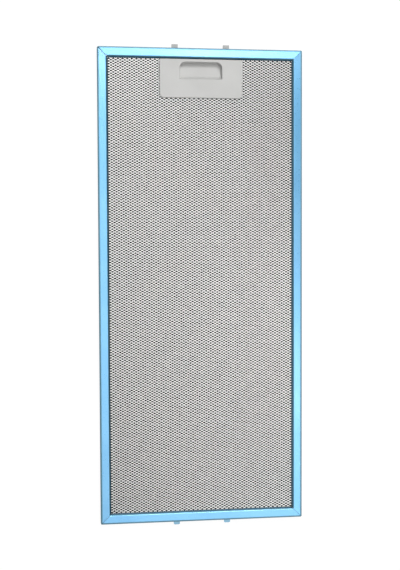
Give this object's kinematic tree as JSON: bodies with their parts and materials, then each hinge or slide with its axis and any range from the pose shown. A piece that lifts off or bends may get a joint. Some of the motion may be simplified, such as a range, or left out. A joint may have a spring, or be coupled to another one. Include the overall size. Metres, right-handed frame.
{
  "type": "cooker hood grease filter",
  "caption": "Flat rectangular cooker hood grease filter: expanded mesh in a blue filmed channel frame, with a sliding finger latch at one end and locating tabs at the other.",
  "frame": {"origin": "middle of the panel's outline, at the rear lip's outer face that it lies on", "axes": "+X across the panel, +Y towards the handle end, +Z out of the front face"},
  "size_m": [0.199, 0.468, 0.01],
  "materials": {
    "blue_film": "glossy blue film over aluminium",
    "mesh_aluminium": "bright expanded sheet",
    "foil_aluminium": "crimped foil",
    "grey_plastic": "fine matt moulding",
    "spring_steel": "drawn wire"
  },
  "bodies": {
    "panel": {"frame": "blue_film", "front_mesh": "mesh_aluminium", "rear_mesh": "mesh_aluminium", "inner_layer_1": "foil_aluminium", "inner_layer_2": "foil_aluminium", "inner_layer_3": "foil_aluminium", "inner_layer_4": "foil_aluminium", "inner_layer_5": "foil_aluminium", "latch_base": "grey_plastic", "latch_spring_left": "spring_steel", "latch_spring_right": "spring_steel"},
    "latch": {"latch_handle": "grey_plastic"}
  },
  "joints": [
    {"name": "latch_slide", "type": "slide", "parent": "panel", "child": "latch", "axis": [0, -1, 0], "range_m": [0, 0.0044], "stiffness_N_per_m": 450, "springref_m": -0.0045, "deforming": ["latch_spring_left", "latch_spring_right"]}
  ]
}
